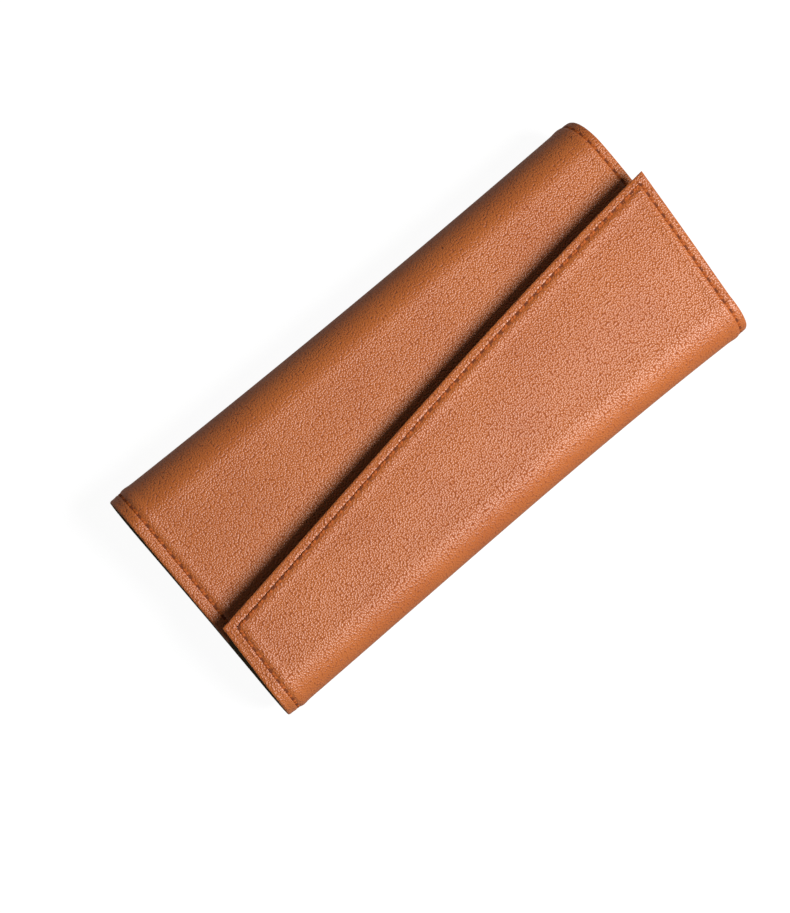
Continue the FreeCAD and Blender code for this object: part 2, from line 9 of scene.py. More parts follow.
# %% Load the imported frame
import json
import math
import bmesh
import bpy
from mathutils import Matrix, Vector
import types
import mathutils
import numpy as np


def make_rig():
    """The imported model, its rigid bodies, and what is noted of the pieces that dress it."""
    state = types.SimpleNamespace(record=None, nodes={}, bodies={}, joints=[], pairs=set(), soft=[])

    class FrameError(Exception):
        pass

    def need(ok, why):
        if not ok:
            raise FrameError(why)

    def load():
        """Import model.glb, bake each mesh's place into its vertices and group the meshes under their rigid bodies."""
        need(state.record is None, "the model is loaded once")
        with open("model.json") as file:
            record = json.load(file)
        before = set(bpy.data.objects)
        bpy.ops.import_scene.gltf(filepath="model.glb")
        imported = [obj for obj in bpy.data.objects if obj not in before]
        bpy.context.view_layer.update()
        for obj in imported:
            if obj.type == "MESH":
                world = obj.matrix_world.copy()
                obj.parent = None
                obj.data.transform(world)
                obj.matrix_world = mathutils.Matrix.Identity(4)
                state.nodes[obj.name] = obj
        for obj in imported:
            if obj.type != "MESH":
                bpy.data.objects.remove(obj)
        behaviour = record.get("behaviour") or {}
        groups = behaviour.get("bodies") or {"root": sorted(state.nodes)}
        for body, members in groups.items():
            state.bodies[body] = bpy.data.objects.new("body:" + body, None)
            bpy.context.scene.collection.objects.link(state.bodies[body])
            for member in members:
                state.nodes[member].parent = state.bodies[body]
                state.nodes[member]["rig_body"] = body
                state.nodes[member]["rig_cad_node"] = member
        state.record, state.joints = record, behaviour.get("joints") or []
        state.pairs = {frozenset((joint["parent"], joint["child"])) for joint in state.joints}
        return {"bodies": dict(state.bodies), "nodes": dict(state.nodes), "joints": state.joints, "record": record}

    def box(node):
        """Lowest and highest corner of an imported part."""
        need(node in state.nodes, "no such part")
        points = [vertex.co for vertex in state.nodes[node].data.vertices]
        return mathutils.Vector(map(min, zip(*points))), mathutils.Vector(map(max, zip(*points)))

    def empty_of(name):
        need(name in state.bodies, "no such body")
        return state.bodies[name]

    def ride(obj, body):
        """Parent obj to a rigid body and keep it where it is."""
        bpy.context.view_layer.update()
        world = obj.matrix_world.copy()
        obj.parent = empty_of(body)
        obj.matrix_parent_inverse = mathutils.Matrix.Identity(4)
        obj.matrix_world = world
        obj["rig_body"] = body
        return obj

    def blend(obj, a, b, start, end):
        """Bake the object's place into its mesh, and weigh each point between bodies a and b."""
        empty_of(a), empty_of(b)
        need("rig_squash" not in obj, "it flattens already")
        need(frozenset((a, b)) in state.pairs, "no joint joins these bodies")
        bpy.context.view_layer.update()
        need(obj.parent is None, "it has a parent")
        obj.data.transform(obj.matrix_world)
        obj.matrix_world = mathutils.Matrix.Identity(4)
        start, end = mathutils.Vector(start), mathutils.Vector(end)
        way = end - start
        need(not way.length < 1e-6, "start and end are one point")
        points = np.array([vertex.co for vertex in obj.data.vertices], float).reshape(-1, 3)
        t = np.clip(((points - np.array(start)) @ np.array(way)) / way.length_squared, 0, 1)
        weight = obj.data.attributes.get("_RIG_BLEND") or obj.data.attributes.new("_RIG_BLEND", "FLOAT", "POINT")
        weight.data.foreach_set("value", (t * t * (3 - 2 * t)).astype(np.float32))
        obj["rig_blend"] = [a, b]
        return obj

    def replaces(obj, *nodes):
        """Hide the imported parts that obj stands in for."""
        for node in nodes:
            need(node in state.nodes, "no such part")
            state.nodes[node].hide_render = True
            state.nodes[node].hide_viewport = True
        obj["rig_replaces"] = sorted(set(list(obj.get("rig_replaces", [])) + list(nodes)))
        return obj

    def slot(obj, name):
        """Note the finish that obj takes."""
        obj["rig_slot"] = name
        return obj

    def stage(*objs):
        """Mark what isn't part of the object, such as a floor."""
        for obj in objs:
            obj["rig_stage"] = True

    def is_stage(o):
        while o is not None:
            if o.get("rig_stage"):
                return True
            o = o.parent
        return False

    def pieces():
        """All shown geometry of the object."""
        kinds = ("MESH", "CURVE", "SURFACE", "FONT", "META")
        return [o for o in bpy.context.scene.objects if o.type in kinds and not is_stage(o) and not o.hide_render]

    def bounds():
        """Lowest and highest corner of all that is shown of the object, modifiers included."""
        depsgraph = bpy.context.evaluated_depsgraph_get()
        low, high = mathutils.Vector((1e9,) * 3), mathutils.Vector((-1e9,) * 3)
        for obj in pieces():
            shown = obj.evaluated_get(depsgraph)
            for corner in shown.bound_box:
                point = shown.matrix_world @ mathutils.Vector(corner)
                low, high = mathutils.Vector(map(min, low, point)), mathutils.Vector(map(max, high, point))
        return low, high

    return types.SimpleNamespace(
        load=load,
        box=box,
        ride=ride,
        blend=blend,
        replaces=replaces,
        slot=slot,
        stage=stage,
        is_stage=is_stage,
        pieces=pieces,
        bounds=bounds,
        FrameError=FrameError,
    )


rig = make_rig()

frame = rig.load()
cad_low, cad_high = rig.bounds()
MM = 0.001
print("frame:", len(frame["nodes"]), "nodes on", len(frame["bodies"]), "bodies")

# %% [markdown]
# ## Measuring the frame
#
# A folded sheet is easiest to think of unrolled: one distance runs along the case (x), the other runs
# round its section (s), from the middle of the back over a fold to a free edge. The joints sit on the
# outer face where the folds bend, so the first and last joint of a fold give its start, its radius and
# its turn. All values are in millimetres, positive s leads to the cover and negative s to the flap.

# %% Measures taken from the joints and the panels
JOINTS = {joint["name"]: joint for joint in frame["joints"]}
FOLD_HINGES = 6


def joint_place(name):
    return Vector(JOINTS[name]["pos_m"]) / MM


def measure_fold(label, side):
    """Half of the back up to the fold, the fold's radius and turn, and the panel's reaches behind it."""
    first = joint_place(f"{label}_bend_1")
    last = joint_place(f"{label}_bend_{FOLD_HINGES}")
    flat = side * first.y
    rise, run = last.z, side * last.y - flat
    turn = 2 * math.atan2(rise, run)
    radius = rise / (1 - math.cos(turn))
    slope = Vector((0, side * math.cos(turn), math.sin(turn)))
    corners = [vertex.co / MM for vertex in frame["nodes"][f"{label}_leather"].data.vertices]
    reach = {}
    for end in (-1, 1):
        reach[end] = max((corner - last).dot(slope) for corner in corners if end * corner.x > 0)
    return {"label": label, "side": side, "flat": flat, "radius": radius, "turn": turn, "reach": reach}


COVER = measure_fold("cover", 1)
FLAP = measure_fold("flap", -1)
HALF_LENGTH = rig.box("back_leather")[1].x / MM
FLAP_LEAN = (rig.box("flap_leather")[1].x / MM - HALF_LENGTH) / FLAP["reach"][1]
LEATHER = (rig.box("back_leather")[1].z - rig.box("back_leather")[0].z) / MM
BOARD = (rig.box("back_board")[1].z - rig.box("back_board")[0].z) / MM
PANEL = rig.box("back_lining")[1].z / MM
LINING = PANEL - LEATHER - BOARD
for fold in (COVER, FLAP):
    degrees = round(math.degrees(fold["turn"]), 1)
    print(fold["label"], "fold: radius", round(fold["radius"], 2), "mm, turn", degrees, "degrees")

# %% [markdown]
# ## The camera
#
# The photograph looks down on the case from a steep angle, with the long side running from lower left to
# upper right. The camera is aimed at a point near the middle of the case. Its lens is worked out from the
# picture's height in pixels, so the case fills the frame as it does there.

# %% Camera
PICTURE_HEIGHT = 913
FOCAL_PIXELS = 2938
VIEW_AZIMUTH, VIEW_ELEVATION, VIEW_ROLL = -40.34, 79.36, -0.09
VIEW_DISTANCE = 903
VIEW_TARGET = Vector((-17.65, -3.35, 15.0))


def make_camera():
    azimuth, elevation = math.radians(VIEW_AZIMUTH), math.radians(VIEW_ELEVATION)
    back = Vector((math.sin(azimuth) * math.cos(elevation), -math.cos(azimuth) * math.cos(elevation),
                   math.sin(elevation)))
    camera = bpy.data.objects.new("camera", bpy.data.cameras.new("camera"))
    bpy.context.scene.collection.objects.link(camera)
    camera.data.lens = FOCAL_PIXELS * camera.data.sensor_width / PICTURE_HEIGHT
    camera.data.clip_start = 0.01
    camera.location = (VIEW_TARGET + back * VIEW_DISTANCE) * MM
    turn = (-back).to_track_quat("-Z", "Y").to_matrix() @ Matrix.Rotation(math.radians(VIEW_ROLL), 3, "Z")
    camera.rotation_euler = turn.to_euler()
    bpy.context.scene.camera = camera
    return camera


print("lens", round(make_camera().data.lens, 1), "mm")

# %% [markdown]
# ## Finishes
#
# Colours are written as the hex values that a colour picker shows and turned to linear light by one
# function. One small function adds a node with its settings and its links, so each finish below reads as
# a short recipe. Patterns on the sheets follow a UV map that is laid out in real size: one unit is 100 mm
# of leather.

# %% Colour and node helpers
UV_MM = 100


def linear(code):
    """An sRGB hex code as linear red, green, blue and alpha."""
    parts = [int(code[n:n + 2], 16) / 255 for n in (1, 3, 5)]
    return [p / 12.92 if p <= 0.04045 else ((p + 0.055) / 1.055) ** 2.4 for p in parts] + [1.0]


def put(tree, kind, settings=None, inputs=None):
    """Add a node, set its properties, and set or link its inputs."""
    made = tree.nodes.new("ShaderNode" + kind)
    for name, value in (settings or {}).items():
        setattr(made, name, value)
    for name, value in (inputs or {}).items():
        if isinstance(value, bpy.types.NodeSocket):
            tree.links.new(value, made.inputs[name])
        else:
            made.inputs[name].default_value = value
    return made


def new_finish(name):
    """A material and its node tree, still empty."""
    finish = bpy.data.materials.new(name)
    finish.use_nodes = True
    finish.node_tree.nodes.clear()
    return finish, finish.node_tree


def show(tree, shader):
    """Send a shader to the surface."""
    put(tree, "OutputMaterial", inputs={"Surface": shader.outputs[0]})


def show_principled(tree, inputs):
    """Send a principled shader with these inputs to the surface."""
    show(tree, put(tree, "BsdfPrincipled", inputs=inputs))


def noise(tree, place, scale, detail=2.0):
    return put(tree, "TexNoise", inputs={"Vector": place, "Scale": scale, "Detail": detail}).outputs["Fac"]


def multiply_add(tree, value, factor, added):
    return put(tree, "Math", {"operation": "MULTIPLY_ADD"}, {0: value, 1: factor, 2: added}).outputs[0]


def ramp(tree, factor, stops):
    """A colour ramp from (place, hex) stops."""
    made = put(tree, "ValToRGB", inputs={"Fac": factor})
    elements = made.color_ramp.elements
    while len(elements) < len(stops):
        elements.new(0.5)
    for element, (place, code) in zip(elements, stops):
        element.position, element.color = place, linear(code)
    return made.outputs["Color"]


# %% [markdown]
# ### Imitation leather
#
# The outer sheet is polyurethane on a fabric back, embossed with a fine pebble grain and left satin. The
# pebbles are under a millimetre wide, so they show as a sparkle where the light grazes them. Cells of a
# Voronoi pattern give the pebbles, a finer noise gives the pores, and a slow noise shifts the tan a
# little, as on the real sheet. The pits between the pebbles are also painted darker, as painted shade.

# %% Leather finish
PEBBLE_MM, PORE_MM, CLOUD_MM, GRAIN_DEPTH_MM = 0.60, 0.30, 25, 0.24
PORE_SHARE, CLOUD_SHARE, PAINTED_PIT_SHADE, MEAN_SHADE = 0.15, 0.35, 0.45, 0.45


def leather_finish(name, dark, mid, light, roughness, relief):
    finish, tree = new_finish(name)
    uv = put(tree, "TexCoord").outputs["UV"]
    cell = put(tree, "TexVoronoi", {"feature": "F1", "voronoi_dimensions": "2D"},
               {"Vector": uv, "Scale": UV_MM / PEBBLE_MM}).outputs["Distance"]
    pebble = put(tree, "Math", {"operation": "MULTIPLY"}, {0: cell, 1: cell}).outputs[0]
    pore = noise(tree, uv, UV_MM / PORE_MM, detail=3.0)
    cloud = noise(tree, uv, UV_MM / CLOUD_MM, detail=4.0)
    grain = multiply_add(tree, pore, PORE_SHARE, pebble)
    patch = multiply_add(tree, cloud, CLOUD_SHARE, MEAN_SHADE)
    # Painted shade: the colour is darker in the pits between the pebbles
    shade = multiply_add(tree, pebble, -PAINTED_PIT_SHADE, patch)
    colour = ramp(tree, shade, [(0.25, dark), (0.45, mid), (0.62, light)])
    rough = put(tree, "MapRange", inputs={"Value": pebble, "From Min": 0.0, "From Max": 0.7,
                                          "To Min": roughness - 0.05, "To Max": roughness + 0.12})
    bump = put(tree, "Bump", {"invert": True},
               {"Height": grain, "Strength": relief, "Distance": GRAIN_DEPTH_MM * MM})
    show_principled(tree, {"Base Color": colour, "Roughness": rough.outputs[0], "Normal": bump.outputs[0],
                           "Specular IOR Level": 0.7})
    return finish


tan_leather = leather_finish("tan_grained_imitation_leather", "#A44F1F", "#B25C24", "#BE682C", 0.42, 0.85)
brown_leather = leather_finish("brown_split_leather", "#3E2113", "#542E1A", "#653A22", 0.55, 0.45)
print("leather:", tan_leather.name, brown_leather.name)

# %% [markdown]
# ### Lining, raw edge and thread
#
# The lining is a short-napped microfibre: matt, slightly fuzzy at grazing angles, which is what sheen is
# for. Where the sheet is cut, its layers show as a pale fibrous edge. The thread is a twisted polyester
# in a darker orange.

# %% Lining, edge and thread finishes
NAP_MM, BRUSH_MM, FIBRE_MM = 0.5, 9, 0.4
NAP_SHARE, BRUSH_SHARE, LOW_SHADE = 0.5, 0.4, 0.3


def lining_finish():
    finish, tree = new_finish("khaki_microfibre")
    uv = put(tree, "TexCoord").outputs["UV"]
    nap = noise(tree, uv, UV_MM / NAP_MM, detail=4.0)
    brushed = noise(tree, uv, UV_MM / BRUSH_MM, detail=5.0)
    patch = multiply_add(tree, brushed, BRUSH_SHARE, LOW_SHADE)
    shade = multiply_add(tree, nap, NAP_SHARE, patch)
    colour = ramp(tree, shade, [(0.50, "#746650"), (0.75, "#8B7B5E"), (1.0, "#A08F70")])
    bump = put(tree, "Bump", inputs={"Height": nap, "Strength": 0.6, "Distance": 0.12 * MM})
    show_principled(tree, {"Base Color": colour, "Roughness": 0.92, "Normal": bump.outputs[0],
                           "Sheen Weight": 0.35, "Sheen Roughness": 0.5, "Sheen Tint": linear("#CBBB9A"),
                           "Specular IOR Level": 0.2})
    return finish


def edge_finish():
    finish, tree = new_finish("cut_fabric_edge")
    place = put(tree, "TexCoord").outputs["Object"]
    fibre = noise(tree, place, 1 / (FIBRE_MM * MM), detail=4.0)
    colour = ramp(tree, fibre, [(0.3, "#6B4A2C"), (0.55, "#9A7C55"), (0.75, "#B79C72")])
    bump = put(tree, "Bump", inputs={"Height": fibre, "Strength": 0.7, "Distance": 0.1 * MM})
    show_principled(tree, {"Base Color": colour, "Roughness": 0.85, "Normal": bump.outputs[0]})
    return finish


def thread_finish():
    finish, tree = new_finish("twisted_polyester_thread")
    uv = put(tree, "TexCoord").outputs["UV"]
    twist = put(tree, "TexWave", {"wave_type": "BANDS", "bands_direction": "DIAGONAL"},
                {"Vector": uv, "Scale": 2.2, "Distortion": 0.4}).outputs["Fac"]
    colour = ramp(tree, twist, [(0.1, "#8C4014"), (0.55, "#AC521C"), (0.95, "#C26628")])
    bump = put(tree, "Bump", inputs={"Height": twist, "Strength": 0.6, "Distance": 0.1 * MM})
    show_principled(tree, {"Base Color": colour, "Roughness": 0.7, "Normal": bump.outputs[0],
                           "Specular IOR Level": 0.25})
    return finish


# Painted shade: a dark mottled colour for the shadow inside a needle hole
def hole_shade_finish():
    finish, tree = new_finish("needle_hole_shade")
    place = put(tree, "TexCoord").outputs["Object"]
    hole_shade_mottle = noise(tree, place, 1 / (FIBRE_MM * MM))
    colour = ramp(tree, hole_shade_mottle, [(0.3, "#62280A"), (0.7, "#7C3810")])
    show_principled(tree, {"Base Color": colour, "Roughness": 0.9})
    return finish


khaki_lining = lining_finish()
raw_edge = edge_finish()
seam_thread = thread_finish()
needle_hole_shade = hole_shade_finish()
print("finishes:", khaki_lining.name, raw_edge.name, seam_thread.name, needle_hole_shade.name)

# %% [markdown]
# ## The unrolled sheet and how it is wrapped
#
# A leather worker cuts the sheet flat and folds it. The functions here do the same: a point is named by x
# and s on the flat sheet and is then wrapped round the section. The long sides of the real case are drawn
# in a little between the ends, which also pushes the flap's slanted edge into a slow bow, so the back's
# half width shrinks towards the middle. The cover and the flap swell slightly, more at one end.

# %% Section of the folded case
END_NARROWING = 0.9
# The keys are the sides of the folds: 1 is the cover's and -1 the flap's
WAIST, WAIST_SKEW = {1: 1.05, -1: 1.2}, {1: 0, -1: 0.7}
NARROWING_START = 0.6
DOME_NEAR, DOME_FAR = 0.2, 0.45
FAR_END_BULGE, NEAR_END_BULGE, FLAP_CORNER_REACH = 1.75, 1.05, 1.4
NEAR_BULGE_AT_BACK, FAR_BULGE_SKEW = 0.7, 0.75
BOARD_SEAM_INSET, BOARD_FOLD_INSET = 5.0, 2.0


def fold_for(s):
    return COVER if s >= 0 else FLAP


def smooth(low, high, value):
    """0 below low, 1 above high, and a soft step between them."""
    t = min(1, max(0, (value - low) / (high - low)))
    return t * t * (3 - 2 * t)


def fold_end(fold):
    """Where a fold ends and its panel begins, as a distance s from the middle of the back."""
    return fold["flat"] + fold["radius"] * fold["turn"]


def drawn_in(fold, x):
    """How far a long side lies inside the plain section at x."""
    side, t = fold["side"], x / HALF_LENGTH
    return END_NARROWING + WAIST[side] * (1 - t * t) * (1 + WAIST_SKEW[side] * t)


def reach_at(fold, x):
    """Length of a panel from its fold to its free edge. The flap's is less by the narrowing of the ends, so
    its corners keep their place."""
    share = (x / HALF_LENGTH + 1) / 2
    straight = fold["reach"][-1] + (fold["reach"][1] - fold["reach"][-1]) * share
    return straight - END_NARROWING if fold is FLAP else straight


def dome(fold, x, along):
    """Outward swell of a panel at a distance from its fold."""
    height = DOME_NEAR + (DOME_FAR - DOME_NEAR) * (x / HALF_LENGTH + 1) / 2
    part = min(1, max(0, along / reach_at(fold, x)))
    return height * math.sin(math.pi * part) ** 2


def wrap(x, s, depth):
    """Place of a point of the flat sheet on the folded case, at a depth below the outer face."""
    fold = fold_for(s)
    side, radius, turn = fold["side"], fold["radius"], fold["turn"]
    flat, along = fold["flat"], abs(s)
    shift = drawn_in(fold, x) * smooth(NARROWING_START * flat, flat, along)
    angle = min(turn, max(0, (along - flat) / radius))
    past = along - flat - radius * turn
    straight = past if past > 0 else min(0, along - flat)
    across = flat - shift + radius * math.sin(angle) + straight * math.cos(angle)
    up = radius * (1 - math.cos(angle)) + straight * math.sin(angle)
    if past > 0:
        depth = depth - dome(fold, x, past)
    normal = Vector((0, side * math.sin(angle), -math.cos(angle)))
    return Vector((x, side * across, up)) - normal * depth


def ends_at(s):
    """Lowest and highest x of the sheet at s. The flap's ends lean towards +x, its far end a little more.
    All panels bulge at the near end, and the cover also bulges at its far end."""
    past = max(0, -s - fold_end(FLAP))
    lean = FLAP_LEAN * past
    corner = FLAP_CORNER_REACH * past / FLAP["reach"][1]
    grown = smooth(0, fold_end(fold_for(s)), abs(s))
    near = NEAR_END_BULGE * (NEAR_BULGE_AT_BACK + (1 - NEAR_BULGE_AT_BACK) * grown)
    start = (COVER["flat"] + fold_end(COVER)) / 2
    share = min(1, max(0, (s - start) / (fold_end(COVER) + COVER["reach"][1] - start)))
    far = FAR_END_BULGE * math.sin(math.pi * share ** FAR_BULGE_SKEW)
    return -HALF_LENGTH + lean - near, HALF_LENGTH + lean + corner + far


def edge_distances(x, s):
    """Distances on the sheet from the near end, the far end and the free edge."""
    low, high = ends_at(s)
    fold = fold_for(s)
    even_x = (2 * (x - low) / (high - low) - 1) * HALF_LENGTH
    slant = math.atan2(fold["reach"][1] - fold["reach"][-1], 2 * HALF_LENGTH)
    free = (fold_end(fold) + reach_at(fold, even_x) - abs(s)) * math.cos(slant)
    return x - low, high - x, free


print("cover edge at", [round(v, 1) for v in wrap(0, fold_end(COVER) + reach_at(COVER, 0), 0)])

# %% [markdown]
# ## Relief along the seams
#
# The thread pulls the sheet down in a shallow groove. Outside the groove the margin turns down to the cut
# edge, but at the cover's near end it curls up, which catches the light. Inside the groove the leather
# swells where the stiffener board begins. The underside lies flat on the table, so there the swell is
# left out. The lining rises over the board in the same place.

# %% Seam relief
SEAM_INSETS = 3.8, 2.7, 2.9
SEAM_WIDTH, SEAM_DEPTH = 0.60, 0.36
EDGE_ROLL, EDGE_DROP, MARGIN_DROP = 0.7, 0.30, 0.32
COVER_END_CURL, CURL_FADE = 0.50, 8.0
SWELL_PLACE, SWELL_WIDTH, SWELL_HEIGHT, SWELL_FADE = 2.1, 1.4, 0.20, 8.0
LINING_RISE, LINING_GROOVE_SHARE = 2.0, 0.5


def bell(value, middle, width):
    return math.exp(-((value - middle) / width) ** 2)


def seam_distance(x, s):
    """Distance on the sheet from the seam, positive inside it."""
    return min(distance - inset for distance, inset in zip(edge_distances(x, s), SEAM_INSETS))


def margin_drop(x, s):
    """How far the margin turns down at its cut edge. At the cover's near end it curls up instead."""
    near_end = 1 - smooth(SEAM_INSETS[0], 2 * SEAM_INSETS[0], edge_distances(x, s)[0])
    on_cover = smooth(fold_end(COVER) - CURL_FADE, fold_end(COVER), s)
    return MARGIN_DROP - COVER_END_CURL * near_end * on_cover


def leather_lift(x, s):
    """Height of the outer face above the plain section."""
    inside, edge = seam_distance(x, s), min(edge_distances(x, s))
    flat = fold_for(s)["flat"]
    raised = smooth(flat, flat + SWELL_FADE, abs(s))
    groove = SEAM_DEPTH * bell(inside, 0, SEAM_WIDTH)
    margin = margin_drop(x, s) * (1 - smooth(-min(SEAM_INSETS), SEAM_WIDTH, inside))
    roll = EDGE_DROP * max(0, 1 - edge / EDGE_ROLL) ** 2
    return raised * SWELL_HEIGHT * bell(inside, SWELL_PLACE, SWELL_WIDTH) - groove - margin - roll


def lining_depth(x, s):
    """Depth of the lining's visible face below the outer face of the leather."""
    fold = fold_for(s)
    inside = min(edge_distances(x, s))
    from_fold = fold["flat"] - abs(s) if abs(s) < fold["flat"] else abs(s) - fold_end(fold)
    over_board = smooth(BOARD_SEAM_INSET - LINING_RISE, BOARD_SEAM_INSET, inside)
    over_board *= smooth(0, BOARD_FOLD_INSET, from_fold)
    groove = LINING_GROOVE_SHARE * SEAM_DEPTH * bell(seam_distance(x, s), 0, SEAM_WIDTH)
    return LEATHER + LINING + BOARD * over_board - groove


print("swell over the board's edge", SWELL_HEIGHT, "mm, groove", SEAM_DEPTH, "mm")

# %% [markdown]
# ## One function for every sheet
#
# A sheet starts as a flat grid one unit wide and long. Extruding the whole grid makes a slab, whose walls
# are the cut edges. Then each vertex is moved to its place on the object. The grid is closer near the
# ends, where the seam relief needs it. The UV map keeps the flat sheet's own measure, so the grain runs
# on from piece to piece.

# %% Sheet builder
def link_piece(name, bm, finishes):
    """Write a bmesh to a new object with these materials."""
    mesh = bpy.data.meshes.new(name)
    bm.to_mesh(mesh)
    bm.free()
    for finish in finishes:
        mesh.materials.append(finish)
    piece = bpy.data.objects.new(name, mesh)
    bpy.context.scene.collection.objects.link(piece)
    return piece


def wrapped_sheet(name, columns, rows, flat_place, solid_place, finishes):
    """A slab of sheet. flat_place(a, b) gives a point of the flat sheet in mm, solid_place(point, layer)
    its place on the object, where layer runs from 0 on the visible face to 1 on the hidden face."""
    bm = bmesh.new()
    unit = Matrix.Translation((0.5, 0.5, 0))
    bmesh.ops.create_grid(bm, x_segments=columns, y_segments=rows, size=0.5, matrix=unit)
    grown = bmesh.ops.extrude_face_region(bm, geom=bm.faces[:])
    raised = [item for item in grown["geom"] if isinstance(item, bmesh.types.BMVert)]
    bmesh.ops.translate(bm, verts=raised, vec=(0, 0, 1))
    bm.normal_update()
    layout = bm.loops.layers.uv.new("sheet")
    for face in bm.faces:
        face.smooth = True
        face.material_index = 1 if abs(face.normal.z) < 0.5 else 0
        for loop in face.loops:
            loop[layout].uv = [value / UV_MM for value in flat_place(loop.vert.co.x, loop.vert.co.y)]
    for edge in bm.edges:
        edge.smooth = len({face.material_index for face in edge.link_faces}) == 1
    for vertex in bm.verts:
        a, b, layer = vertex.co
        vertex.co = solid_place(flat_place(a, b), layer) * MM
    bmesh.ops.recalc_face_normals(bm, faces=bm.faces[:])
    return link_piece(name, bm, finishes)


def both_ends(share, crowding=0.82):
    """Crowd evenly spaced shares towards both ends."""
    return share - crowding * math.sin(2 * math.pi * share) / (2 * math.pi)


def far_end(share, crowding=0.8):
    """Crowd evenly spaced shares towards the far end."""
    return share + crowding * math.sin(math.pi * share) / math.pi


print("sheet builder ready")

# %% [markdown]
# ## Leather and lining, cut where the folds bend
#
# A sheet that bends over several joints can't be one piece here, because a piece bends between two bodies
# only. So the fold is cut in the middle of each strip, where the sheet moves with one body alone. Each
# cut piece then bends over the one joint in its middle, and the pieces meet without a gap in every pose.

# %% Layout of the pieces
FOLD_RUN = 4.0
BLEND_MARGIN, MEAN_SECTION = 0.9, 0.55
STRIPS = FOLD_HINGES - 1
BACK_SPAN = FOLD_RUN - FLAP["flat"], COVER["flat"] - FOLD_RUN


def hinge_bodies(fold):
    label = fold["label"]
    return ["base"] + [f"{label}_strip_{n}" for n in range(1, STRIPS + 1)] + [label]


def hinge_span(fold, number):
    """Start and end, as distances from the middle of the back, of the piece that bends at a joint."""
    strip = fold["radius"] * fold["turn"] / STRIPS
    joint = fold["flat"] + number * strip
    start = joint - (FOLD_RUN if number == 0 else strip / 2)
    end = joint + (FOLD_RUN if number == STRIPS else strip / 2)
    return start, end


def fold_pieces():
    """Fold, joint's number, s span and the two bodies of every piece that bends."""
    for fold in (COVER, FLAP):
        bodies = hinge_bodies(fold)
        for number in range(FOLD_HINGES):
            start, end = hinge_span(fold, number)
            yield fold, number, fold["side"] * start, fold["side"] * end, bodies[number], bodies[number + 1]


def bend(piece, s_start, s_end, body, next_body, depth):
    """Let a piece bend over its joint. Its two ends stay with one body each."""
    inset = BLEND_MARGIN * (1 if s_end > s_start else -1)
    x = MEAN_SECTION * HALF_LENGTH
    start, end = (wrap(x, s, depth) * MM for s in (s_start + inset, s_end - inset))
    start.x = end.x = 0
    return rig.blend(piece, body, next_body, start=start, end=end)


print(sum(1 for piece in fold_pieces()), "bending pieces in each layer")

# %% Leather pieces
COLUMNS, FOLD_ROWS, BACK_ROWS, PANEL_ROWS = 150, 24, 40, 64


def leather_place(point, layer):
    x, s = point
    return wrap(x, s, -leather_lift(x, s) * (1 - layer) + LEATHER * layer)


def span(s_start, s_end):
    """Map the unit grid to the sheet between two distances."""
    def place(a, b):
        s = s_start + (s_end - s_start) * b
        low, high = ends_at(s)
        return low + (high - low) * both_ends(a), s
    return place


def panel_span(fold):
    """Map the unit grid to the panel behind a fold, up to its free edge."""
    start = fold_end(fold) + FOLD_RUN

    def place(a, b):
        share = both_ends(a)
        reach = reach_at(fold, (2 * share - 1) * HALF_LENGTH)
        s = fold["side"] * (start + (fold_end(fold) + reach - start) * far_end(b))
        low, high = ends_at(s)
        return low + (high - low) * share, s
    return place


def dress_layer(layer, place, columns, rows, finishes, slot, depth):
    """All pieces of one layer: the back, the two panels and the bending pieces between them."""
    back_rows, panel_rows, fold_rows = rows
    flats = [("base", "back", span(*BACK_SPAN), back_rows)]
    flats += [(fold["label"], fold["label"], panel_span(fold), panel_rows) for fold in (COVER, FLAP)]
    for body, label, flat_place, count in flats:
        piece = wrapped_sheet(f"{label}_{layer}_sheet", columns, count, flat_place, place, finishes)
        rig.ride(piece, body)
        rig.replaces(piece, f"{label}_{layer}")
        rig.slot(piece, slot)
    for fold, number, s_start, s_end, body, next_body in fold_pieces():
        name = f"{fold['label']}_fold_{layer}_bend_{number + 1}"
        piece = wrapped_sheet(name, columns, fold_rows, span(s_start, s_end), place, finishes)
        bend(piece, s_start, s_end, body, next_body, depth)
        if number:
            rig.replaces(piece, f"{fold['label']}_fold_{layer}_{number}")
        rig.slot(piece, slot)


dress_layer("leather", leather_place, COLUMNS, (BACK_ROWS, PANEL_ROWS, FOLD_ROWS), [tan_leather, raw_edge],
            "tan_leather", LEATHER / 2)
print("leather dressed")

# %% Lining pieces
LINING_COLUMNS, LINING_FOLD_ROWS, LINING_BACK_ROWS, LINING_PANEL_ROWS = 90, 12, 48, 44


def lining_place(point, layer):
    x, s = point
    return wrap(x, s, lining_depth(x, s) - LINING * layer)


dress_layer("lining", lining_place, LINING_COLUMNS, (LINING_BACK_ROWS, LINING_PANEL_ROWS, LINING_FOLD_ROWS),
            [khaki_lining, raw_edge], "khaki_lining", LEATHER + LINING / 2)
print("lining dressed")

# %% [markdown]
# ## The seam
#
# A lockstitch runs just inside every cut edge and turns the corners. Each stitch is a short plump length
# of thread that dives into a needle hole at both ends, so a stretched sphere sunk half into the groove
# gives its shape, and a small dark disc at each end is painted shade for the hole. The same stitches show
# on the lining. The seam is shared out among the pieces of leather that it lies on, and bends with them.

# %% Stitches
STITCH_PITCH, STITCH_LENGTH, THREAD_WIDTH, THREAD_HEIGHT, HOLE_RADIUS = 4.0, 3.15, 1.1, 0.66, 0.48
THREAD_LIFT, HOLE_LIFT = 0.02, 0.16
THREAD_SIDES, THREAD_RINGS, HOLE_SIDES = 8, 6, 8


def seam_end(s, end):
    """Point of the seam at s beside one end of the sheet."""
    number = 0 if end < 0 else 1
    return ends_at(s)[number] - end * SEAM_INSETS[number], s


def seam_corner(fold, end):
    along = fold_end(fold) + reach_at(fold, end * HALF_LENGTH) - SEAM_INSETS[2]
    return seam_end(fold["side"] * along, end)


def along_line(first, last):
    """A straight run of seam."""
    def point(share):
        return tuple(a + (b - a) * share for a, b in zip(first, last))
    return point, math.hypot(last[0] - first[0], last[1] - first[1])


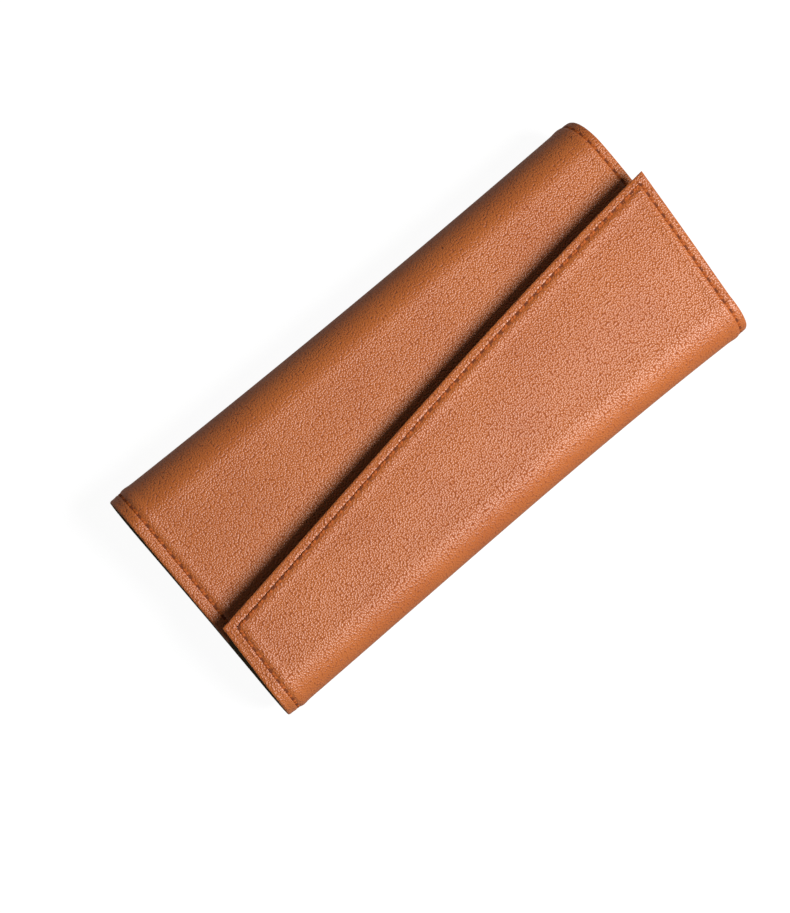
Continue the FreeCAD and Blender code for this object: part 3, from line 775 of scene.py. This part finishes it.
def along_end(end):
    """The run of seam beside one end, from the cover's free edge to the flap's."""
    top, bottom = seam_corner(COVER, end)[1], seam_corner(FLAP, end)[1]

    def point(share):
        return seam_end(top + (bottom - top) * share, end)
    return point, top - bottom


def stitch_shares(length):
    """Where every stitch of a run begins and ends, as shares of the run."""
    count = round(length / STITCH_PITCH)
    half = STITCH_LENGTH / STITCH_PITCH / 2
    for number in range(count):
        middle = number + 0.5
        yield (middle - half) / count, (middle + half) / count


def seam_stitches():
    runs = [along_line(seam_corner(fold, -1), seam_corner(fold, 1)) for fold in (COVER, FLAP)]
    runs += [along_end(-1), along_end(1)]
    return [(point(start), point(end)) for point, length in runs for start, end in stitch_shares(length)]


def add_stitch(bm, start, end, up):
    """One stitch from start to end, with a dark disc of painted shade at each of its two needle holes."""
    along = (end - start).normalized()
    across = up.cross(along).normalized()
    turned = Matrix((along, across, up)).transposed().to_4x4()
    size = Matrix.Diagonal(((end - start).length / 2, THREAD_WIDTH / 2 * MM, THREAD_HEIGHT / 2 * MM, 1))
    middle = Matrix.Translation((start + end) / 2 + up * THREAD_LIFT * MM)
    lie = Matrix.Rotation(math.pi / 2, 4, "Y")
    ball = bmesh.ops.create_uvsphere(bm, u_segments=THREAD_SIDES, v_segments=THREAD_RINGS, radius=1,
                                     matrix=middle @ turned @ size @ lie, calc_uvs=True)
    for face in {face for vertex in ball["verts"] for face in vertex.link_faces}:
        face.smooth = True
    for tip in (start, end):
        place = Matrix.Translation(tip + up * HOLE_LIFT * MM) @ turned
        disc = bmesh.ops.create_circle(bm, cap_ends=True, segments=HOLE_SIDES, radius=HOLE_RADIUS * MM,
                                       matrix=place)
        for face in {face for vertex in disc["verts"] for face in vertex.link_faces}:
            # The disc is painted shade standing for the shadow in the needle hole
            face.material_index = 1


def thread_face(x, s, inner):
    """Place of the thread on the outer or the inner face, and the way that points off it."""
    depth, way = (lining_depth(x, s), 1) if inner else (-leather_lift(x, s), -1)
    place = wrap(x, s, depth)
    return place * MM, (wrap(x, s, depth + way) - place).normalized()


def thread_piece(name, stitches):
    bm = bmesh.new()
    bm.loops.layers.uv.new("thread")
    for (x0, s0), (x1, s1) in stitches:
        for inner in (False, True):
            start, up = thread_face(x0, s0, inner)
            end, up_end = thread_face(x1, s1, inner)
            add_stitch(bm, start, end, (up + up_end).normalized())
    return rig.slot(link_piece(name, bm, [seam_thread, needle_hole_shade]), "tan_leather")


def sew():
    """Make the thread of every piece, and count the stitches."""
    stitches = seam_stitches()

    def between(low, high):
        return [ends for ends in stitches if low <= (ends[0][1] + ends[1][1]) / 2 < high]

    flats = [("back", "base", *BACK_SPAN), ("cover", "cover", fold_end(COVER) + FOLD_RUN, math.inf),
             ("flap", "flap", -math.inf, -fold_end(FLAP) - FOLD_RUN)]
    for label, body, low, high in flats:
        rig.ride(thread_piece(f"{label}_seam_thread", between(low, high)), body)
    for fold, number, s_start, s_end, body, next_body in fold_pieces():
        name = f"{fold['label']}_fold_seam_thread_{number + 1}"
        piece = thread_piece(name, between(min(s_start, s_end), max(s_start, s_end)))
        bend(piece, s_start, s_end, body, next_body, LEATHER)
    return len(stitches)


print(sew(), "stitches sewn")

# %% [markdown]
# ## The loop band
#
# A strip of brown leather is sewn down between the handles, so it stands in a row of arches. Its section
# is a walk of straight runs and arcs: along the lining, up a leg, over a handle and down again. The sheet
# builder from above then lays a flat strip along that walk.

# %% Loop band
KNIVES = ("broad_knife", "skew_knife", "narrow_knife", "scraper", "point_knife")
BAND_THICK, FOOT_ROUND, BAND_EDGE_ROLL, BAND_EDGE_DROP = 0.8, 0.6, 0.6, 0.3
BAND_COLUMNS, BAND_ROWS, BAND_CROWDING = 22, 240, 0.6


def knife_axis(knife):
    low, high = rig.box(f"{knife}_handle")
    return (low + high) / 2 / MM


def walk(steps, start, distance):
    """Place and heading after a distance along steps of (length, turn), starting out along +y."""
    y, z = start
    heading = 0.0
    for length, turn in steps:
        part = min(distance, length)
        swept = turn * part / length
        if turn:
            radius = length / turn
            y += radius * (math.sin(heading + swept) - math.sin(heading))
            z += radius * (math.cos(heading) - math.cos(heading + swept))
        else:
            y += part * math.cos(heading)
            z += part * math.sin(heading)
        heading += swept
        distance -= part
        if distance <= 0:
            break
    return y, z, heading


def make_loop_band():
    low, high = (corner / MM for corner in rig.box("loop_band"))
    axes = [knife_axis(knife) for knife in KNIVES]
    radius = high.z - axes[0].z - BAND_THICK / 2
    leg = axes[0].z - PANEL - BAND_THICK / 2 - FOOT_ROUND
    corner = (FOOT_ROUND * math.pi / 2, math.pi / 2)
    arch = [corner, (leg, 0), (radius * math.pi, -math.pi), (leg, 0), corner]
    gap = (axes[1].y - axes[0].y) - 2 * (radius + FOOT_ROUND)
    foot = axes[0].y - radius - FOOT_ROUND - low.y
    steps = [(foot, 0)]
    for number in range(len(axes)):
        steps += arch + [(gap if number + 1 < len(axes) else foot, 0)]
    total = sum(length for length, turn in steps)

    def flat_place(a, b):
        return low.x + (high.x - low.x) * both_ends(a, BAND_CROWDING), total * b

    def solid_place(point, layer):
        x, distance = point
        y, z, heading = walk(steps, (low.y, PANEL + BAND_THICK / 2), distance)
        inside = min(x - low.x, high.x - x)
        roll = BAND_EDGE_DROP * max(0, 1 - inside / BAND_EDGE_ROLL) ** 2 * (1 - layer)
        off = BAND_THICK * (0.5 - layer) - roll
        return Vector((x, y - math.sin(heading) * off, z + math.cos(heading) * off))

    band = wrapped_sheet("loop_band_strip", BAND_COLUMNS, BAND_ROWS, flat_place, solid_place,
                         [brown_leather, brown_leather])
    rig.slot(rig.replaces(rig.ride(band, "base"), "loop_band"), "brown_band")
    return low, high, axes


band_low, band_high, knife_axes = make_loop_band()
print("loop band over", len(knife_axes), "handles")

# %% [markdown]
# ## The tip pocket
#
# A boxed pocket of the same leather takes the blade tips. A cube is scaled to its size, its roof is drawn
# in a little, the mouth and the sewn side are taken out, and the edges between its walls are rounded. The
# leather's thickness is added last.

# %% Tip pocket
POCKET_ROUND, POCKET_ROUND_STEPS, POCKET_DRAW = 2.2, 5, 1.0
POCKET_LONG_EDGE, POCKET_CUT_EVERY = 6, 9


def make_tip_pocket():
    low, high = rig.box("tip_pocket")
    middle, extent = (low + high) / 2, high - low
    bm = bmesh.new()
    bmesh.ops.create_cube(bm, size=1, matrix=Matrix.Translation(middle) @ Matrix.Diagonal((*extent, 1)))
    for vertex in bm.verts:
        if vertex.co.z > middle.z:
            vertex.co.y -= math.copysign(POCKET_DRAW * MM, vertex.co.y)
    bm.normal_update()
    open_faces = [face for face in bm.faces if face.normal.z < -0.9 or face.normal.x > 0.9]
    bmesh.ops.delete(bm, geom=open_faces, context="FACES_ONLY")
    inner_edges = [edge for edge in bm.edges if len(edge.link_faces) == 2]
    bmesh.ops.bevel(bm, geom=inner_edges, offset=POCKET_ROUND * MM, offset_type="OFFSET", affect="EDGES",
                    segments=POCKET_ROUND_STEPS, profile=0.5, material=-1, clamp_overlap=True)
    cuts = round(extent.length / MM / POCKET_CUT_EVERY)
    for axis in ("x", "y"):
        long_edges = [edge for edge in bm.edges
                      if abs(getattr(edge.verts[0].co - edge.verts[1].co, axis)) > POCKET_LONG_EDGE * MM]
        bmesh.ops.subdivide_edges(bm, edges=long_edges, cuts=cuts, use_grid_fill=True)
    layout = bm.loops.layers.uv.new("sheet")
    for face in bm.faces:
        face.smooth = True
        for loop in face.loops:
            place = loop.vert.co / MM
            down = math.copysign(high.z / MM - place.z, place.y)
            loop[layout].uv = (place.x / UV_MM, (place.y + down) / UV_MM)
    bmesh.ops.recalc_face_normals(bm, faces=bm.faces[:])
    pocket = link_piece("tip_pocket_leather", bm, [brown_leather])
    wall = pocket.modifiers.new("wall", "SOLIDIFY")
    wall.thickness, wall.offset, wall.use_even_offset = BAND_THICK * MM, -1, True
    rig.slot(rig.replaces(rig.ride(pocket, "base"), "tip_pocket"), "brown_band")
    return low / MM, high / MM


pocket_low, pocket_high = make_tip_pocket()
print("tip pocket", [round(v, 1) for v in pocket_high - pocket_low], "mm")

# %% [markdown]
# ## Thread on the band and the pocket
#
# Rows of stitches between the arches hold the band, and one row hems the pocket's mouth. They are the
# same stitch as in the seam, laid on straight lines in space.

# %% Band and pocket stitches
HEM_INSET, END_ROW_INSET = 2.5, 0.6


def straight_row(bm, first, last, up):
    """A straight row of stitches between two points in mm."""
    run = last - first
    for shares in stitch_shares(run.length):
        add_stitch(bm, *((first + run * share) * MM for share in shares), up)


def sew_inside():
    bm = bmesh.new()
    bm.loops.layers.uv.new("thread")
    up = Vector((0, 0, 1))
    half_pitch = (knife_axes[1].y - knife_axes[0].y) / 2
    z = PANEL + BAND_THICK
    for number in range(len(knife_axes) + 1):
        y = knife_axes[0].y + (2 * number - 1) * half_pitch
        y = min(band_high.y - END_ROW_INSET, max(band_low.y + END_ROW_INSET, y))
        straight_row(bm, Vector((band_low.x, y, z)), Vector((band_high.x, y, z)), up)
    x, half = pocket_high.x - HEM_INSET, pocket_high.y - POCKET_DRAW - POCKET_ROUND
    straight_row(bm, Vector((x, -half, pocket_high.z)), Vector((x, half, pocket_high.z)), up)
    piece = link_piece("band_and_pocket_thread", bm, [seam_thread, needle_hole_shade])
    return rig.slot(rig.ride(piece, "base"), "brown_band")


print(len(sew_inside().data.polygons), "faces of thread inside the case")

# %% [markdown]
# ## Knives, boards and magnets
#
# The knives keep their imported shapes, which are turned and ground like the real ones, and only need
# finishes. The handles are oiled hardwood with its grain along the handle, the ferrules spun brass with
# fine turning rings, and the blades ground steel with scratches across them. Boards and magnets lie
# hidden in the panels.

# %% Wood, metal and board finishes
WOOD_LINE_MM, WOOD_LENGTH_MM, BOARD_FIBRE_MM = 0.7, 14, 1.2
TURNING_MM, RING_LENGTH_MM, GRIND_MM, GRIND_LENGTH_MM, PLATING_MM = 0.35, 12, 0.25, 10, 5


def streaks(tree, along_mm, across_mm, axis):
    """Noise with a size of its own along one axis, in millimetres."""
    place = put(tree, "TexCoord").outputs["Object"]
    scale = [1 / (across_mm * MM)] * 3
    scale[axis] = 1 / (along_mm * MM)
    stretched = put(tree, "VectorMath", {"operation": "MULTIPLY"}, {0: place, 1: scale}).outputs[0]
    return put(tree, "TexNoise", inputs={"Vector": stretched, "Scale": 1.0, "Detail": 4.0,
                                         "Roughness": 0.6}).outputs["Fac"]


def wood_finish():
    finish, tree = new_finish("oiled_hardwood")
    grain = streaks(tree, WOOD_LENGTH_MM, WOOD_LINE_MM, axis=0)
    colour = ramp(tree, grain, [(0.25, "#2E1309"), (0.5, "#5A2A16"), (0.75, "#7C4124")])
    bump = put(tree, "Bump", inputs={"Height": grain, "Strength": 0.25, "Distance": 0.1 * MM})
    show_principled(tree, {"Base Color": colour, "Roughness": 0.38, "Normal": bump.outputs[0],
                           "Coat Weight": 0.25, "Coat Roughness": 0.25})
    return finish


def metal_finish(name, dark, light, roughness, along_mm, across_mm, axis):
    finish, tree = new_finish(name)
    lines = streaks(tree, along_mm, across_mm, axis)
    colour = ramp(tree, lines, [(0.3, dark), (0.7, light)])
    rough = put(tree, "MapRange", inputs={"Value": lines, "To Min": roughness - 0.08,
                                          "To Max": roughness + 0.1})
    bump = put(tree, "Bump", inputs={"Height": lines, "Strength": 0.3, "Distance": 0.02 * MM})
    show_principled(tree, {"Base Color": colour, "Metallic": 1.0, "Roughness": rough.outputs[0],
                           "Normal": bump.outputs[0]})
    return finish


def board_finish():
    finish, tree = new_finish("grey_pressed_board")
    fibre = streaks(tree, 2 * BOARD_FIBRE_MM, BOARD_FIBRE_MM, axis=0)
    colour = ramp(tree, fibre, [(0.3, "#7E776A"), (0.7, "#9C9484")])
    show_principled(tree, {"Base Color": colour, "Roughness": 0.9})
    return finish


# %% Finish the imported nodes
def coat_node(node, finish):
    mesh = frame["nodes"][node].data
    mesh.materials.clear()
    mesh.materials.append(finish)


knife_finishes = {
    "handle": wood_finish(),
    "ferrule": metal_finish("spun_brass", "#B98A3C", "#D9B264", 0.24, TURNING_MM, RING_LENGTH_MM, axis=0),
    "blade": metal_finish("ground_steel", "#B9BCBF", "#D6D8DA", 0.36, GRIND_LENGTH_MM, GRIND_MM, axis=1),
}
for knife in KNIVES:
    for part, finish in knife_finishes.items():
        coat_node(f"{knife}_{part}", finish)
nickel = metal_finish("nickel_plated_magnet", "#B5B3AE", "#CFCDC8", 0.3, PLATING_MM, PLATING_MM, axis=0)
pressed_board = board_finish()
for panel in ("back", "cover", "flap"):
    coat_node(f"{panel}_board", pressed_board)
for panel in ("cover", "flap"):
    coat_node(f"{panel}_magnet", nickel)
print("knives, boards and magnets finished")

# %% [markdown]
# ## Stage and light
#
# The photograph is a cut-out on white under one large soft light from the right, nearer the far end,
# which puts the pale sheen on the flap and the dark shadow under its slanted edge. A weak fill keeps the
# cover's roll readable, and pale walls, which only reflections see, keep the blades from looking black
# when the case is open. Places and sizes here are in metres.

# %% Floor, world and lamps
FLOOR_HALF, FLOOR_DROP = 3.0, 0.00005
FLOOR_GLOW, FLOOR_MIRROR_SHARE, PAPER_GREY = 0.95, 0.2, 0.12
ROOM_GLOW, WALL_GLOW = 0.055, 0.4
LAMP_AIM = 0, 0, 0.015
KEY = {"place": (0.38, -0.57, 0.73), "size": 0.54, "power": 13.4}
LEFT_FILL = {"place": (-0.15, 0.85, 0.28), "size": 0.5, "power": 0.85}


def make_floor():
    bm = bmesh.new()
    drop = Matrix.Translation((0, 0, -FLOOR_DROP))
    bmesh.ops.create_grid(bm, x_segments=1, y_segments=1, size=FLOOR_HALF, matrix=drop)
    finish, tree = new_finish("white_paper_floor")
    path = put(tree, "LightPath").outputs
    seen = multiply_add(tree, path["Is Glossy Ray"], FLOOR_MIRROR_SHARE, path["Is Camera Ray"])
    seen = put(tree, "Math", {"operation": "MAXIMUM"}, {0: seen, 1: path["Is Transmission Ray"]}).outputs[0]
    strength = put(tree, "Math", {"operation": "MULTIPLY"}, {0: seen, 1: FLOOR_GLOW}).outputs[0]
    glow = put(tree, "Emission", inputs={"Strength": strength})
    paper = put(tree, "BsdfDiffuse", inputs={"Color": (PAPER_GREY, PAPER_GREY, PAPER_GREY, 1)})
    show(tree, put(tree, "AddShader", inputs={0: glow.outputs[0], 1: paper.outputs[0]}))
    floor = link_piece("floor", bm, [finish])
    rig.stage(floor)


def make_lamp(name, place, size, power):
    lamp = bpy.data.objects.new(name, bpy.data.lights.new(name, "AREA"))
    lamp.data.shape = "DISK"
    lamp.data.size = size
    lamp.data.energy = power
    lamp.location = place
    lamp.rotation_euler = (Vector(LAMP_AIM) - Vector(place)).to_track_quat("-Z", "Y").to_euler()
    bpy.context.scene.collection.objects.link(lamp)
    return lamp


def make_world():
    """A dim even room. Only reflections see its pale walls, which fade out towards the ceiling."""
    world = bpy.data.worlds.new("studio")
    world.use_nodes = True
    tree = world.node_tree
    height = put(tree, "SeparateXYZ", inputs={0: put(tree, "TexCoord").outputs["Generated"]}).outputs["Z"]
    walls = put(tree, "MapRange", inputs={"Value": height, "To Min": WALL_GLOW, "To Max": 0.0}).outputs[0]
    mirrored = put(tree, "LightPath").outputs["Is Glossy Ray"]
    level = multiply_add(tree, walls, mirrored, ROOM_GLOW)
    background = tree.nodes["Background"]
    background.inputs["Color"].default_value = (1, 1, 1, 1)
    tree.links.new(level, background.inputs["Strength"])
    bpy.context.scene.world = world


make_floor()
make_world()
make_lamp("key", **KEY)
make_lamp("left_fill", **LEFT_FILL).visible_glossy = False
bpy.context.scene.view_settings.view_transform = "Standard"
print("stage set")

# %% Sizes of the imported frame and the dressed object
visual_low, visual_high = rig.bounds()
sizes = {"cad": [list(cad_low), list(cad_high)], "visual": [list(visual_low), list(visual_high)]}
with open("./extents.json", "w") as handle:
    json.dump(sizes, handle)
